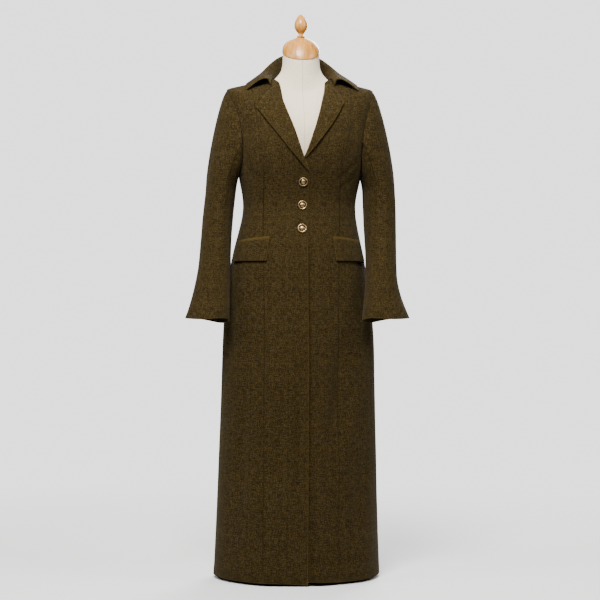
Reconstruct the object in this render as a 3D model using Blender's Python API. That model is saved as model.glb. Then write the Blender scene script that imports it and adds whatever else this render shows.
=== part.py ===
"""A long tweed coat on a limbless dress form: cut panels as thin walls, in metres, +Z up, front facing -Y."""

import bpy
import numpy as np

# Cloth and fit, metres
WALL = 0.0020
SEAM_GAP = 0.0003
LAY_GAP = 0.0004
POCKET_GAP = 0.0008
LAPEL_GAP = 0.0014
SLEEVE_SEAM = 0.0012
COLLAR_WALL = 0.0026
LAPEL_WALL = 0.0022
FLAP_WALL = 0.0025
JET_WALL = 0.0016
JET_HEIGHT = 0.0055
FORM_GAP_SHOULDER = 0.0050
FORM_GAP_BODY = 0.0160
LAP_HALF = 0.0155
LAP_LIFT = 0.0027
LAP_FROM, LAP_REACH = -0.045, 0.027

# Body rings in millimetres, hem to neck. The level is the height at the side.
# level, front height, back height, half width, front depth, back depth, squareness, sway to the side
RINGS = np.array([
    (8, 7, 8, 217, 166, 160, 2.05, -11),
    (120, 120, 120, 213, 161, 156, 2.05, -10),
    (250, 250, 250, 208, 155, 151, 2.08, -9),
    (380, 380, 380, 204, 149, 147, 2.10, -8),
    (510, 510, 510, 200, 143, 143, 2.12, -7),
    (640, 640, 640, 196.5, 138, 140, 2.15, -6.5),
    (730, 730, 730, 188, 134, 138, 2.15, -8),
    (800, 800, 800, 177, 130, 135, 2.15, -8),
    (847, 847, 847, 168, 126, 129, 2.12, -8),
    (873, 873, 873, 161, 121, 123, 2.12, -7.5),
    (900, 900, 900, 155, 116, 115, 2.12, -6.5),
    (928, 928, 928, 148.5, 110, 106, 2.12, -5.5),
    (959, 959, 959, 146, 107, 101, 2.15, -5),
    (980, 980, 980, 148, 109, 101, 2.18, -4.5),
    (1005, 1005, 1005, 153, 114, 103, 2.20, -4),
    (1035, 1035, 1035, 160, 122, 106, 2.25, -3),
    (1070, 1068, 1070, 167, 130, 110, 2.30, -2),
    (1110, 1104, 1111, 173, 133, 114, 2.35, -1),
    (1160, 1148, 1163, 179, 125, 117, 2.40, 0),
    (1210, 1188, 1214, 188, 110, 115, 2.45, -1),
    (1245, 1210, 1243, 193, 96, 107, 2.45, -2),
    (1262, 1221, 1258, 190, 88, 99, 2.40, -3),
    (1272, 1231, 1275, 154, 77, 90, 2.30, -2),
    (1282, 1243, 1292, 112, 66, 81, 2.15, 0),
    (1291, 1256, 1309, 74, 55, 72, 2.00, 0),
], float)

# Soft flutes of the skirt: angle, half spread, depth (mm, inwards), height of most depth, reach above it
FOLDS = (
    (-4.0, 5.5, 5.0, 300, 300),
    (-27.0, 8.0, -3.5, 380, 330),
    (-56.0, 10.0, 4.0, 120, 420),
    (12.0, 6.0, -3.0, 520, 260),
    (31.0, 9.0, 4.5, 430, 330),
    (52.0, 9.0, -4.0, 200, 360),
    (70.0, 8.0, 4.0, 60, 380),
    (112.0, 12.0, 5.0, 40, 480),
    (138.0, 10.0, -4.0, 60, 460),
    (163.0, 9.0, 5.0, 30, 520),
    (-118.0, 12.0, 5.0, 30, 500),
    (-146.0, 10.0, -4.0, 80, 450),
    (-168.0, 8.0, 4.0, 40, 500),
)

# Seam lines on the front as height and distance from the centre, millimetres
PRINCESS = np.array([
    (0, 97), (320, 95), (640, 94), (860, 97), (950, 98), (1030, 99), (1080, 102),
    (1108, 110), (1153, 118), (1226, 125), (1300, 128),
], float)
ROLL_LINE = np.array([
    (0, -LAP_HALF * 1000), (1036, -LAP_HALF * 1000), (1056, -9), (1076, 0), (1095, 8), (1121, 16.5),
    (1147, 25), (1173, 34), (1200, 43), (1226, 51), (1255, 56), (1300, 62),
], float)

# Armhole between the underarm and the shoulder tip, as levels in mm and angles off the side
UNDERARM, SHOULDER_TIP, NECK = 1035.0, 1262.0, 1291.0
ARM_STEPS = 12
SIDE_FRONT_TIP = 0.03
ARM_FRONT, ARM_BACK, ARM_ROUND = 31.0, 28.0, 2.5

# Sleeve rings in millimetres, upper arm to cuff, wearer's right and wearer's left
# height, inner edge, outer edge, centre depth, half depth
SLEEVE_RIGHT = np.array([
    (1000, 168, 248, 2, 64), (960, 173, 253, -4, 62), (900, 179, 259, -16, 58), (847, 183, 263, -32, 54),
    (800, 184, 268, -50, 50), (760, 185, 276, -66, 48), (720, 186, 286, -82, 48), (690, 187, 295, -92, 50),
    (672, 188, 302, -97, 51),
], float)
SLEEVE_LEFT = np.array([
    (1000, 160, 246, 2, 64), (960, 161, 247, -5, 62), (900, 161, 245, -22, 58), (847, 162, 243, -46, 54),
    (800, 160, 240, -70, 50), (760, 156, 240, -90, 48), (720, 151, 249, -106, 48), (690, 147, 260, -116, 50),
    (672, 144, 267, -121, 51),
], float)
CAP_ROWS = 8
CAP_PUSH, ARM_PULL = 0.060, 0.22
UNDER_PUSH, UNDER_PULL = 0.012, 0.030
HEAD_BEND, UNDER_BEND, BEND_EASE = 30.0, 180.0, 1.2
UNDER_SLEEVE_FROM = 118.0
SLEEVE_ROWS = np.array([1000, 985, 947, 909, 871, 834, 796, 758, 720, 695, 672], float)
CUFF_FROM, CUFF_REACH = 0.800, 0.128
CUFF_DROP = 0.009

# Lapel corners (distance from centre, height) in millimetres, wearer's right then left
LAPEL_TIPS = ((117.0, 1204.0), (105.0, 1219.0))
LAPEL_FEET = ((-13.0, 1046.0), (-1.0, 1077.0))
LAPEL_TOP = (53.0, 1267.0)
LAPEL_PEAK, LAPEL_PEAK_FROM, LAPEL_PEAK_LEAN = 14.0, 0.6, 0.75
LAPEL_BELLY, LAPEL_FOOT_WIDTH, LAPEL_PUFF = 5.0, 3.0, 0.002
LAPEL_SPRING, LAPEL_SPRING_FROM = 0.0032, 0.2

# Collar from the centre back to the notch: the seam by angle, level and lift off the cloth (mm),
# then the fold and the outer edge in metres for the +X half, and how blunt the fold is (2 is a parabola)
# angle, level, lift, fold x, fold y, fold z, edge x, edge y, edge z, blunt
COLLAR = np.array([
    (180.0, 1291.0, 0.5, 0.0000, 0.0990, 1.3700, 0.0000, 0.1020, 1.2800, 3.0),
    (150.0, 1291.0, 0.5, 0.0440, 0.0890, 1.3640, 0.0540, 0.0935, 1.2800, 3.0),
    (120.0, 1291.0, 0.5, 0.0760, 0.0570, 1.3400, 0.1020, 0.0715, 1.2810, 2.4),
    (95.0, 1291.0, 1.4, 0.0935, 0.0180, 1.3140, 0.1340, 0.0260, 1.2830, 2.0),
    (74.0, 1290.0, 3.8, 0.0990, -0.0200, 1.2990, 0.1450, -0.0190, 1.2754, 2.0),
    (47.0, 1283.0, 8.4, 0.1000, -0.0500, 1.2870, 0.1450, -0.0560, 1.2566, 2.0),
], float)
COLLAR_STEPS, COLLAR_ROWS = 12, 9

# Pocket flap: inner and outer angle, top level at each end, bottom level
FLAP = (28.6, 70.5, 873.0, 864.0, 816.0)
FLAP_KICK = 0.0015

# Buttons: height, and how far the back stands off the cloth
BUTTONS = ((1.0165, 0.0006), (0.9575, 0.0013), (0.8980, 0.0004))
BUTTON_RADIUS = 0.01125
BUTTON_PROFILE = np.array([
    (1.00, 0.0010), (1.00, 0.0022), (0.93, 0.0030), (0.80, 0.0029), (0.74, 0.0022), (0.66, 0.0022),
    (0.58, 0.0031), (0.40, 0.0040), (0.20, 0.0045),
])
BUTTON_TOP = 0.0047

# Form
FORM_BOTTOM = 0.720
FORM_FIT_FROM, FORM_FIT_REACH = 1080.0, 120.0
FORM_NECK = np.array([
    (1300, 1267, 1321, 59, 49, 62), (1312, 1288, 1334, 51, 47, 54), (1330, 1308, 1351, 48, 47, 49),
    (1358, 1334, 1382, 47.2, 47.2, 47.2),
], float)
CAP_RADIUS, CAP_SLOPE, CAP_CENTRE, CAP_DOME, CAP_RIM = 0.0488, 0.509, 1.3584, 0.0345, 0.0055
CAP_CROWN, CAP_EDGE = 0.0115, 0.0012
FINIAL_PROFILE = np.array([
    (0.0090, 0.0000), (0.0105, 0.0015), (0.0105, 0.0035), (0.0068, 0.0058), (0.0062, 0.0090),
    (0.0080, 0.0125), (0.0125, 0.0170), (0.0160, 0.0230), (0.0174, 0.0300), (0.0168, 0.0380),
    (0.0145, 0.0450), (0.0112, 0.0510), (0.0080, 0.0555), (0.0045, 0.0595),
])
FINIAL_TOP = 0.0610
POLE_RADIUS, BASE_RADIUS, BASE_HEIGHT, BASE_BEVEL = 0.0125, 0.1100, 0.0120, 0.0030

COLOURS = {
    "tweed": (0.058, 0.043, 0.016, 1.0),
    "brass": (0.42, 0.28, 0.11, 1.0),
    "beech": (0.72, 0.40, 0.17, 1.0),
    "jersey": (0.72, 0.66, 0.54, 1.0),
    "steel": (0.35, 0.35, 0.36, 1.0),
}


def smooth_rows(table, at):
    """Columns of a table at new positions of its first column, by a monotone cubic."""
    x = table[:, 0]
    step = np.diff(x)
    out = []
    for y in table[:, 1:].T:
        slope = np.diff(y) / step
        tangent = np.zeros(len(x))
        tangent[0], tangent[-1] = slope[0], slope[-1]
        for i in range(1, len(x) - 1):
            if slope[i - 1] * slope[i] > 0:
                w1, w2 = 2 * step[i] + step[i - 1], step[i] + 2 * step[i - 1]
                tangent[i] = (w1 + w2) / (w1 / slope[i - 1] + w2 / slope[i])
        k = np.clip(np.searchsorted(x, at, side="right") - 1, 0, len(x) - 2)
        t = np.clip((at - x[k]) / step[k], 0.0, 1.0)
        rise = (1 + 2 * t) * (1 - t) ** 2 * y[k] + t * t * (3 - 2 * t) * y[k + 1]
        out.append(rise + step[k] * (t * (1 - t) ** 2 * tangent[k] - t * t * (1 - t) * tangent[k + 1]))
    return out


def signed_power(value, power):
    return np.sign(value) * np.abs(value) ** power


def fold_depth(angle, level):
    """How far the skirt lies inside its ring, in mm."""
    depth = np.zeros(np.broadcast(angle, level).shape)
    for at, spread, deep, most, reach in FOLDS:
        turn = (np.degrees(angle) - at + 180.0) % 360.0 - 180.0
        tall = np.clip(1.0 - np.clip((level - most) / reach, -0.35, 1.0) ** 2, 0.0, 1.0)
        depth = depth + deep * np.exp(-0.5 * (turn / spread) ** 2) * tall
    return depth


def sway_at(level):
    return smooth_rows(RINGS, np.asarray(level, float))[6] / 1000.0


def body(angle, level, hang=1.0):
    """Outer face of the coat. Angle 0 is the centre front, +90 degrees the +X side."""
    angle, level = np.broadcast_arrays(np.asarray(angle, float), np.asarray(level, float))
    front_z, back_z, wide, front, back, square, sway = smooth_rows(RINGS, level)
    s, c = np.sin(angle), np.cos(angle)
    depth = np.where(c > 0, front, back)
    end_z = np.where(c > 0, front_z, back_z)
    fold = fold_depth(angle, level)
    x = (wide - fold) * signed_power(s, 2.0 / square) + hang * sway
    y = -(depth - fold) * signed_power(c, 2.0 / square)
    z = end_z + (level - end_z) * s * s
    return np.stack([x, y, z], -1) / 1000.0


def body_normal(angle, level):
    d_angle, d_level = 2e-3, 0.5
    across = body(angle + d_angle, level) - body(angle - d_angle, level)
    up = body(angle, np.minimum(level + d_level, NECK)) - body(angle, level - d_level)
    n = np.cross(across, up)
    return n / np.linalg.norm(n, axis=-1, keepdims=True)


def angle_at(line, levels, side):
    """Angle on each ring where it meets a seam line given as height and distance from the centre."""
    angle = np.full(len(levels), 0.6)
    wide, square = smooth_rows(RINGS, levels)[2], smooth_rows(RINGS, levels)[5]
    for _ in range(60):
        height = body(angle, levels)[:, 2] * 1000
        share = np.clip(np.interp(height, line[:, 0], line[:, 1]) / wide, -1.0, 1.0)
        angle = 0.5 * angle + 0.5 * np.arcsin(np.clip(signed_power(share, square / 2.0), -1.0, 1.0))
    return side * angle


def front_at(x, z):
    """Angle and level of the front face at given distance from the centre and height, in mm."""
    low, high = np.full(np.shape(x), 20.0), np.full(np.shape(x), NECK)
    for _ in range(45):
        level = 0.5 * (low + high)
        wide, square = smooth_rows(RINGS, level)[2], smooth_rows(RINGS, level)[5]
        share = np.clip(x / wide, -0.999, 0.999)
        angle = np.arcsin(np.clip(signed_power(share, square / 2.0), -1.0, 1.0))
        below = body(angle, level)[..., 2] * 1000 < z
        low, high = np.where(below, level, low), np.where(below, high, level)
    return angle, level


def material(name, metallic=0.0, roughness=0.9):
    made = bpy.data.materials.new(name)
    made.use_nodes = True
    shader = made.node_tree.nodes["Principled BSDF"]
    shader.inputs["Base Color"].default_value = COLOURS[name]
    shader.inputs["Metallic"].default_value = metallic
    shader.inputs["Roughness"].default_value = roughness
    return made


def add_object(name, points, faces, made):
    mesh = bpy.data.meshes.new(name)
    mesh.from_pydata([tuple(p) for p in points], [], faces)
    mesh.polygons.foreach_set("use_smooth", [True] * len(mesh.polygons))
    mesh.materials.append(made)
    mesh.update()
    bpy.context.scene.collection.objects.link(bpy.data.objects.new(name, mesh))


def wall(name, outer, normal, thick, made):
    """A closed wall from a grid of outer points: the inner face lies one thickness in."""
    rows, cols = outer.shape[:2]
    points = np.concatenate([outer.reshape(-1, 3), (outer - normal * thick).reshape(-1, 3)])
    count = rows * cols
    faces = []
    for r in range(rows - 1):
        for c in range(cols - 1):
            a, b = r * cols + c, r * cols + c + 1
            d, e = a + cols, b + cols
            faces += [(a, b, e, d), (a + count, d + count, e + count, b + count)]
    rim = [c for c in range(cols)] + [r * cols + cols - 1 for r in range(1, rows)]
    rim += [(rows - 1) * cols + c for c in range(cols - 2, -1, -1)]
    rim += [r * cols for r in range(rows - 2, 0, -1)]
    for a, b in zip(rim, rim[1:] + rim[:1]):
        faces.append((b, a, a + count, b + count))
    across, up = outer[0, 1] - outer[0, 0], outer[1, 0] - outer[0, 0]
    if np.dot(np.cross(across, up), normal[0, 0]) < 0:
        faces = [f[::-1] for f in faces]
    add_object(name, points, faces, made)


def turned(name, profile, top, segments, place, made):
    """A turned piece: profile of radius and height, flat below, closed by a point above."""
    turn = np.linspace(0.0, 2 * np.pi, segments, endpoint=False)
    rings = [np.stack([r * np.cos(turn), r * np.sin(turn), np.full(segments, h)], -1) for r, h in profile]
    points = np.concatenate(rings + [np.array([[0.0, 0.0, profile[0][1]], [0.0, 0.0, top]])])
    faces = []
    for k in range(len(profile) - 1):
        for i in range(segments):
            j = (i + 1) % segments
            faces.append((k * segments + i, k * segments + j, (k + 1) * segments + j, (k + 1) * segments + i))
    last, foot = (len(profile) - 1) * segments, len(profile) * segments
    for i in range(segments):
        j = (i + 1) % segments
        faces += [(j, i, foot), (last + i, last + j, foot + 1)]
    add_object(name, place(points), faces, made)


for old in list(bpy.data.objects):
    bpy.data.objects.remove(old)

tweed = material("tweed")
brass = material("brass", 1.0, 0.4)
beech = material("beech", 0.0, 0.4)
jersey = material("jersey")
steel = material("steel", 1.0, 0.4)

SIDE_NAMES = {-1: "right", 1: "left"}
RIGHT_ANGLE = np.pi / 2
arm_share = 0.5 * (1 - np.cos(np.pi * np.arange(ARM_STEPS + 1) / ARM_STEPS))
arm_levels = UNDERARM + (SHOULDER_TIP - UNDERARM) * arm_share
arm_arch = (1 - np.abs(2 * arm_share - 1) ** ARM_ROUND) ** (1 / ARM_ROUND)
skirt_levels = np.array([
    8, 70, 150, 250, 350, 450, 550, 640, 710, 765, 810, 847, 880, 910, 935, 959, 985, 1010,
], float)
top_levels = np.array([1265, 1268.5, 1272, 1275.5, 1279, 1283, 1287, NECK])
levels = np.concatenate([skirt_levels, arm_levels, top_levels])
first_arm = len(skirt_levels)
arm_rows = slice(first_arm, first_arm + ARM_STEPS + 1)


def shifted(angle, level, distance):
    """The angle that lies a distance further round the ring."""
    small = 1e-3
    speed = np.linalg.norm(body(angle + small, level) - body(angle - small, level), axis=-1) / (2 * small)
    return angle + distance / speed


def side_edge(arch_degrees, toward):
    """Edge at the side seam, the armhole and the shoulder seam, on the front (-1) or the back (+1)."""
    edge = shifted(np.full(len(levels), RIGHT_ANGLE), levels, toward * SEAM_GAP / 2)
    edge[arm_rows] += toward * np.radians(arch_degrees) * arm_arch
    return edge


def lap_lift(x):
    """How far the upper front stands off at the centre, where it laps the other."""
    t = np.clip((x - LAP_FROM) / LAP_REACH, 0.0, 1.0)
    return LAP_LIFT * t * t * (3 - 2 * t)


def panel(name, start, stop, rows, columns, side, lapped=False):
    share = np.linspace(0.0, 1.0, columns)
    angle = side * (start[rows, None] + (stop - start)[rows, None] * share)
    level = np.repeat(levels[rows, None], columns, axis=1)
    points, normal = body(angle, level), body_normal(angle, level)
    if lapped:
        points = points + normal * lap_lift(points[..., :1] - sway_at(level)[..., None])
    wall(name, points, normal, WALL, tweed)


princess = np.minimum(angle_at(PRINCESS, levels, 1), RIGHT_ANGLE)
front_side, back_side = side_edge(ARM_FRONT, -1), side_edge(ARM_BACK, 1)
roll_edge = angle_at(ROLL_LINE, levels, 1)
front_stop = np.minimum(shifted(princess, levels, -SEAM_GAP / 2), front_side)
front_stop[arm_rows] = shifted(princess, levels, -SEAM_GAP / 2)[arm_rows]
side_start = shifted(princess, levels, SEAM_GAP / 2)
wide_enough = front_side - side_start > SIDE_FRONT_TIP
side_rows = np.arange(np.argmin(np.append(wide_enough, False)))
centre_back = shifted(np.full(len(levels), np.pi), levels, -SEAM_GAP / 2)
all_rows = np.arange(len(levels))
for side, word in SIDE_NAMES.items():
    panel("front_" + word, roll_edge, front_stop, all_rows, 7, side, lapped=side < 0)
    panel("side_front_" + word, side_start, front_side, side_rows, 6, side)
    panel("back_" + word, back_side, centre_back, all_rows, 9, side)


def unit(v):
    return v / np.linalg.norm(v, axis=-1, keepdims=True)


def grid_normal(points, inside):
    """Normals of a grid of points by its own slopes, facing away from the inside points."""
    n = unit(np.cross(np.gradient(points, axis=1), np.gradient(points, axis=0)))
    return np.where(np.sum(n * (points - inside), -1, keepdims=True) < 0, -n, n)


def sleeve(side, table):
    """A set-in sleeve: from the armhole edge over its head, then down the arm in rings."""
    front_angle = RIGHT_ANGLE - np.radians(ARM_FRONT) * arm_arch
    back_angle = RIGHT_ANGLE + np.radians(ARM_BACK) * arm_arch
    angle = side * np.concatenate([front_angle[::-1], back_angle[1:-1]])
    level = np.concatenate([arm_levels[::-1], arm_levels[1:-1]])
    hole, normal = body(angle, level), body_normal(angle, level)
    along = unit(np.roll(hole, -1, axis=0) - np.roll(hole, 1, axis=0))
    out = np.cross(normal, along)
    middle = body(side * RIGHT_ANGLE, 0.5 * (UNDERARM + SHOULDER_TIP))
    out = np.where(np.sum(out * (middle - hole), -1, keepdims=True) < 0, -out, out)
    steps = np.linalg.norm(np.roll(hole, -1, axis=0) - hole, axis=-1)
    front_arc = np.concatenate([[0.0], np.cumsum(steps[:ARM_STEPS])])
    back_arc = np.cumsum(steps[::-1][:ARM_STEPS - 1])[::-1]
    turn = np.pi * np.concatenate([front_arc / front_arc[-1], -back_arc / steps[ARM_STEPS:].sum()])
    bend = np.radians(HEAD_BEND + (UNDER_BEND - HEAD_BEND) * (np.abs(turn) / np.pi) ** BEND_EASE)
    lean, rise = np.cos(bend)[:, None], np.sin(bend)[:, None]
    start = hole + out * LAY_GAP + normal * LAY_GAP * 1.5 * np.clip(-lean, 0.0, 1.0)
    leave = lean * out + rise * normal
    first_normal = lean * normal - rise * out
    outer = 0.5 * (1 + np.cos(turn))[:, None]
    inner_x, outer_x, mid_y, deep = smooth_rows(table[::-1], SLEEVE_ROWS)

    def ring(k):
        x = 0.5 * (inner_x[k] + outer_x[k]) + 0.5 * (outer_x[k] - inner_x[k]) * np.cos(turn)
        y = mid_y[k] - deep[k] * np.sin(turn)
        return np.stack([side * x, y, np.full(len(turn), SLEEVE_ROWS[k])], -1) / 1000.0

    grid = []
    end = ring(0)
    pull = np.array([0.0, 0.0, -1.0]) * (UNDER_PULL + (ARM_PULL - UNDER_PULL) * outer)
    push = leave * (UNDER_PUSH + (CAP_PUSH - UNDER_PUSH) * outer)
    for t in np.linspace(0.0, 1.0, CAP_ROWS + 1)[:-1]:
        grid.append((1 + 2 * t) * (1 - t) ** 2 * start + t * (1 - t) ** 2 * push
                    + t * t * (3 - 2 * t) * end - t * t * (1 - t) * pull)
    grid += [ring(k) for k in range(len(SLEEVE_ROWS))]
    grid = np.array(grid)
    fall = np.clip((CUFF_FROM - grid[..., 2]) / CUFF_REACH, 0.0, 1.0)
    grid[..., 2] -= CUFF_DROP * fall * 0.5 * (1 - np.cos(turn))
    wrapped = np.concatenate([grid[:, -1:], grid, grid[:, :1]], axis=1)
    inside = grid.mean(axis=1, keepdims=True)
    normals = grid_normal(wrapped, inside)[:, 1:-1]
    normals[0] = first_normal
    seam = np.radians(UNDER_SLEEVE_FROM)
    order = np.argsort(turn)
    upper = [k for k in order if abs(turn[k]) <= seam]
    front_under, back_under = [k for k in order if turn[k] > seam], [k for k in order if turn[k] < -seam]
    under = [upper[-1]] + front_under + back_under + [upper[0]]
    for name, columns in (("sleeve_top_", upper), ("sleeve_under_", under)):
        points = grid[:, columns].copy()
        points[:, 0] += unit(points[:, 1] - points[:, 0]) * SLEEVE_SEAM / 2
        points[:, -1] += unit(points[:, -2] - points[:, -1]) * SLEEVE_SEAM / 2
        wall(name + SIDE_NAMES[side], points, normals[:, columns], WALL, tweed)


sleeve(-1, SLEEVE_RIGHT)
sleeve(1, SLEEVE_LEFT)


def lapel(side, foot, tip):
    """The turned-back front: laid on the panel from the roll line out to its edge."""
    t = np.linspace(0.0, 1.0, 13)[:, None]
    s = np.linspace(0.0, 1.0, 7)[None, :]
    roll_z = foot[1] + (LAPEL_TOP[1] - foot[1]) * t
    roll_x = np.interp(roll_z, ROLL_LINE[:, 0], ROLL_LINE[:, 1])
    edge_z = foot[1] + (tip[1] - foot[1]) * t
    foot_x = roll_x[0] + LAPEL_FOOT_WIDTH
    edge_x = foot_x + (tip[0] - foot_x) * t + LAPEL_BELLY * np.sin(np.pi * t)
    x = roll_x * (1 - s) + edge_x * s
    z = roll_z * (1 - s) + edge_z * s
    peak = np.clip((t - LAPEL_PEAK_FROM) / (1.0 - LAPEL_PEAK_FROM), 0.0, 1.0) ** 2
    z = z + LAPEL_PEAK * np.sin(np.pi * s ** LAPEL_PEAK_LEAN) * peak
    angle, level = front_at(x, z)
    points, normal = body(side * angle, level), body_normal(side * angle, level)
    lift = LAPEL_GAP + LAPEL_WALL + LAPEL_PUFF * np.sin(np.pi * s) * t
    lift = lift + LAPEL_SPRING * s ** 2 * np.minimum(t / LAPEL_SPRING_FROM, 1.0)
    if side < 0:
        lift = lift + lap_lift(points[..., 0] - sway_at(level))
    wall("lapel_" + SIDE_NAMES[side], points + normal * lift[..., None], normal, LAPEL_WALL, tweed)


lapel(-1, LAPEL_FEET[0], LAPEL_TIPS[0])
lapel(1, LAPEL_FEET[1], LAPEL_TIPS[1])


def collar():
    """One collar from notch to notch: it stands round the neck, folds over and falls to the shoulders."""
    rank = np.concatenate([[np.arange(len(COLLAR))], COLLAR.T]).T
    share = np.linspace(0.0, len(COLLAR) - 1.0, COLLAR_STEPS)
    columns = smooth_rows(rank, share)
    angle, level, lift = np.radians(columns[0]), columns[1], columns[2][:, None] / 1000.0
    seam = body(angle, level) + body_normal(angle, level) * lift
    seam[:, 2] += np.where(lift[:, 0] < 0.001, lift[:, 0], 0.0)
    fold, edge = np.stack(columns[3:6], -1), np.stack(columns[6:9], -1)
    t = np.linspace(0.0, 1.0, COLLAR_ROWS)[:, None, None]
    middle, blunt = 0.5 * (seam + edge), columns[9][:, None]
    half = (1 - t) * seam + t * edge + (fold - middle) * (1 - np.abs(2 * t - 1) ** blunt)
    inside = np.repeat(middle[None], COLLAR_ROWS, axis=0)
    flip = np.array([-1.0, 1.0, 1.0])
    points = np.concatenate([half[:, :0:-1] * flip, half], axis=1)
    inside = np.concatenate([inside[:, :0:-1] * flip, inside], axis=1)
    wall("collar", points, grid_normal(points, inside), COLLAR_WALL, tweed)


collar()

for side, word in SIDE_NAMES.items():
    share = np.linspace(0.0, 1.0, 9)[None, :]
    angle = np.radians(FLAP[0] + (FLAP[1] - FLAP[0]) * share)
    top = FLAP[2] + (FLAP[3] - FLAP[2]) * share
    down = np.linspace(0.0, 1.0, 5)[:, None]
    level = top + (FLAP[4] - top) * down
    angle = side * np.repeat(angle, 5, axis=0)
    normal = body_normal(angle, level)
    lift = POCKET_GAP + FLAP_WALL + FLAP_KICK * down
    wall("pocket_flap_" + word, body(angle, level) + normal * lift[..., None], normal, FLAP_WALL, tweed)
    jet_level = top + np.array([[LAY_GAP], [LAY_GAP + JET_HEIGHT]]) * 1000
    normal = body_normal(angle[:2], jet_level)
    points = body(angle[:2], jet_level) + normal * (POCKET_GAP + JET_WALL)
    wall("pocket_jet_" + word, points, normal, JET_WALL, tweed)

for k, (height, stand_off) in enumerate(BUTTONS):
    angle, level = front_at(np.array(0.0), np.array(height * 1000))
    seat, face = body(angle, level), body_normal(angle, level)
    seat = seat + face * (LAP_LIFT + stand_off)
    level_axis = np.array([1.0, 0.0, 0.0])
    up_axis = np.cross(face, level_axis)
    profile = BUTTON_PROFILE * np.array([BUTTON_RADIUS, 1.0]) - np.array([0.0, BUTTON_PROFILE[0, 1]])
    turned("button_%d" % (k + 1), profile, BUTTON_TOP - BUTTON_PROFILE[0, 1], 20,
           lambda p: seat + p[:, :1] * level_axis + p[:, 1:2] * up_axis + p[:, 2:] * face, brass)


def form_torso():
    """The covered form: the coat's own ring shape drawn in, with a neck, flat below and sloped above."""
    columns = 36
    turn = np.linspace(0.0, 2 * np.pi, columns, endpoint=False)
    rows = [FORM_BOTTOM * 1000, 770, 820, 870, 915, 959, 1005, 1050, 1095]
    rows += list(arm_levels[5:]) + list(top_levels)
    rings = []
    for row in rows:
        share = np.clip((row - FORM_FIT_FROM) / FORM_FIT_REACH, 0.0, 1.0)
        gap = FORM_GAP_BODY + (FORM_GAP_SHOULDER - FORM_GAP_BODY) * share * share * (3 - 2 * share)
        rings.append(body(turn, row, share) - body_normal(turn, np.full(columns, row)) * gap)
    rings[0][:, 2] = FORM_BOTTOM
    for level, front_z, back_z, wide, front, back in FORM_NECK:
        c = np.cos(turn)
        end_z = np.where(c > 0, front_z, back_z)
        z = end_z + (level - end_z) * np.sin(turn) ** 2
        if level == FORM_NECK[-1, 0]:
            z = level - (level - front_z) * c
        rings.append(np.stack([wide * np.sin(turn), -np.where(c > 0, front, back) * c, z], -1) / 1000.0)
    points = np.concatenate(rings + [rings[0].mean(axis=0)[None], rings[-1].mean(axis=0)[None]])
    count = len(rings)
    faces = []
    for k in range(count - 1):
        for i in range(columns):
            j = (i + 1) % columns
            faces.append((k * columns + i, k * columns + j, (k + 1) * columns + j, (k + 1) * columns + i))
    for i in range(columns):
        j = (i + 1) % columns
        faces.append((j, i, count * columns))
        faces.append(((count - 1) * columns + i, (count - 1) * columns + j, count * columns + 1))
    add_object("form_torso", points, faces, jersey)


form_torso()


def sloped(points):
    """Shears the cap's rim forward while its crown stays level."""
    out = np.hypot(points[:, 0], points[:, 1])
    reach = np.clip((out - CAP_CROWN) / (CAP_RADIUS - CAP_CROWN), 0.0, 1.0)
    rim = np.where(points[:, 2] < CAP_RIM, 1.0, reach)
    return points + np.stack([0 * rim, 0 * rim, CAP_CENTRE + CAP_SLOPE * points[:, 1] * rim], -1)


dome = np.radians(np.array([12.0, 26.0, 40.0, 54.0, 66.0]))
cap_profile = [(CAP_RADIUS - CAP_EDGE, 0.0), (CAP_RADIUS, CAP_EDGE), (CAP_RADIUS, CAP_RIM - SEAM_GAP)]
cap_profile += [(CAP_RADIUS * np.cos(a), CAP_RIM + CAP_DOME * np.sin(a)) for a in dome]
cap_profile += [(CAP_CROWN, CAP_RIM + CAP_DOME)]
turned("neck_cap", cap_profile, CAP_RIM + CAP_DOME, 32, sloped, beech)
finial_seat = np.array([0.0, 0.0, CAP_CENTRE + CAP_RIM + CAP_DOME + SEAM_GAP])
turned("finial", FINIAL_PROFILE, FINIAL_TOP, 24, lambda p: p + finial_seat, beech)
pole_profile = [(POLE_RADIUS, BASE_HEIGHT + SEAM_GAP), (POLE_RADIUS, FORM_BOTTOM - SEAM_GAP)]
turned("pole", pole_profile, FORM_BOTTOM - SEAM_GAP, 24, lambda p: p, steel)
base_profile = [(BASE_RADIUS, 0.0), (BASE_RADIUS, BASE_HEIGHT - BASE_BEVEL)]
base_profile += [(BASE_RADIUS - BASE_BEVEL, BASE_HEIGHT)]
turned("base", base_profile, BASE_HEIGHT, 48, lambda p: p, steel)
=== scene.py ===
# %% [markdown]
# # A long tweed coat on its dress form
# The imported solids give every piece its place and size. This lesson dresses them: the cloth becomes
# thin soft shells with creases and a woven tweed, the buttons become cast brass, and the form gets
# its jersey cover and turned wood. Loading the frame comes first, because every piece keeps the place of its
# solid.

import math

import bmesh
import bpy
import numpy as np
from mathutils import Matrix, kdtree


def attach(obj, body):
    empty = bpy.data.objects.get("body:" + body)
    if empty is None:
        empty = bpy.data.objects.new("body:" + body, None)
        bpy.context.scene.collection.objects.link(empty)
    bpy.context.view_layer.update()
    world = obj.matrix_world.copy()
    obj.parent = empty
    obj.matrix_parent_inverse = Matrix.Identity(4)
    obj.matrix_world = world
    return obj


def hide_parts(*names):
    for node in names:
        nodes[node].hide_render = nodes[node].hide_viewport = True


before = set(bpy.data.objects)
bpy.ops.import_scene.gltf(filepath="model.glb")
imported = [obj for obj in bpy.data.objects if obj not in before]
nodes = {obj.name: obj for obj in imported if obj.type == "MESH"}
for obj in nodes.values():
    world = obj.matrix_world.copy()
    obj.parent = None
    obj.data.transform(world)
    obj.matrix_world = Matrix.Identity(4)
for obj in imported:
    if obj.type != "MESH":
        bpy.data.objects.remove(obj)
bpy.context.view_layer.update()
bpy.ops.object.select_all(action="DESELECT")
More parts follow.
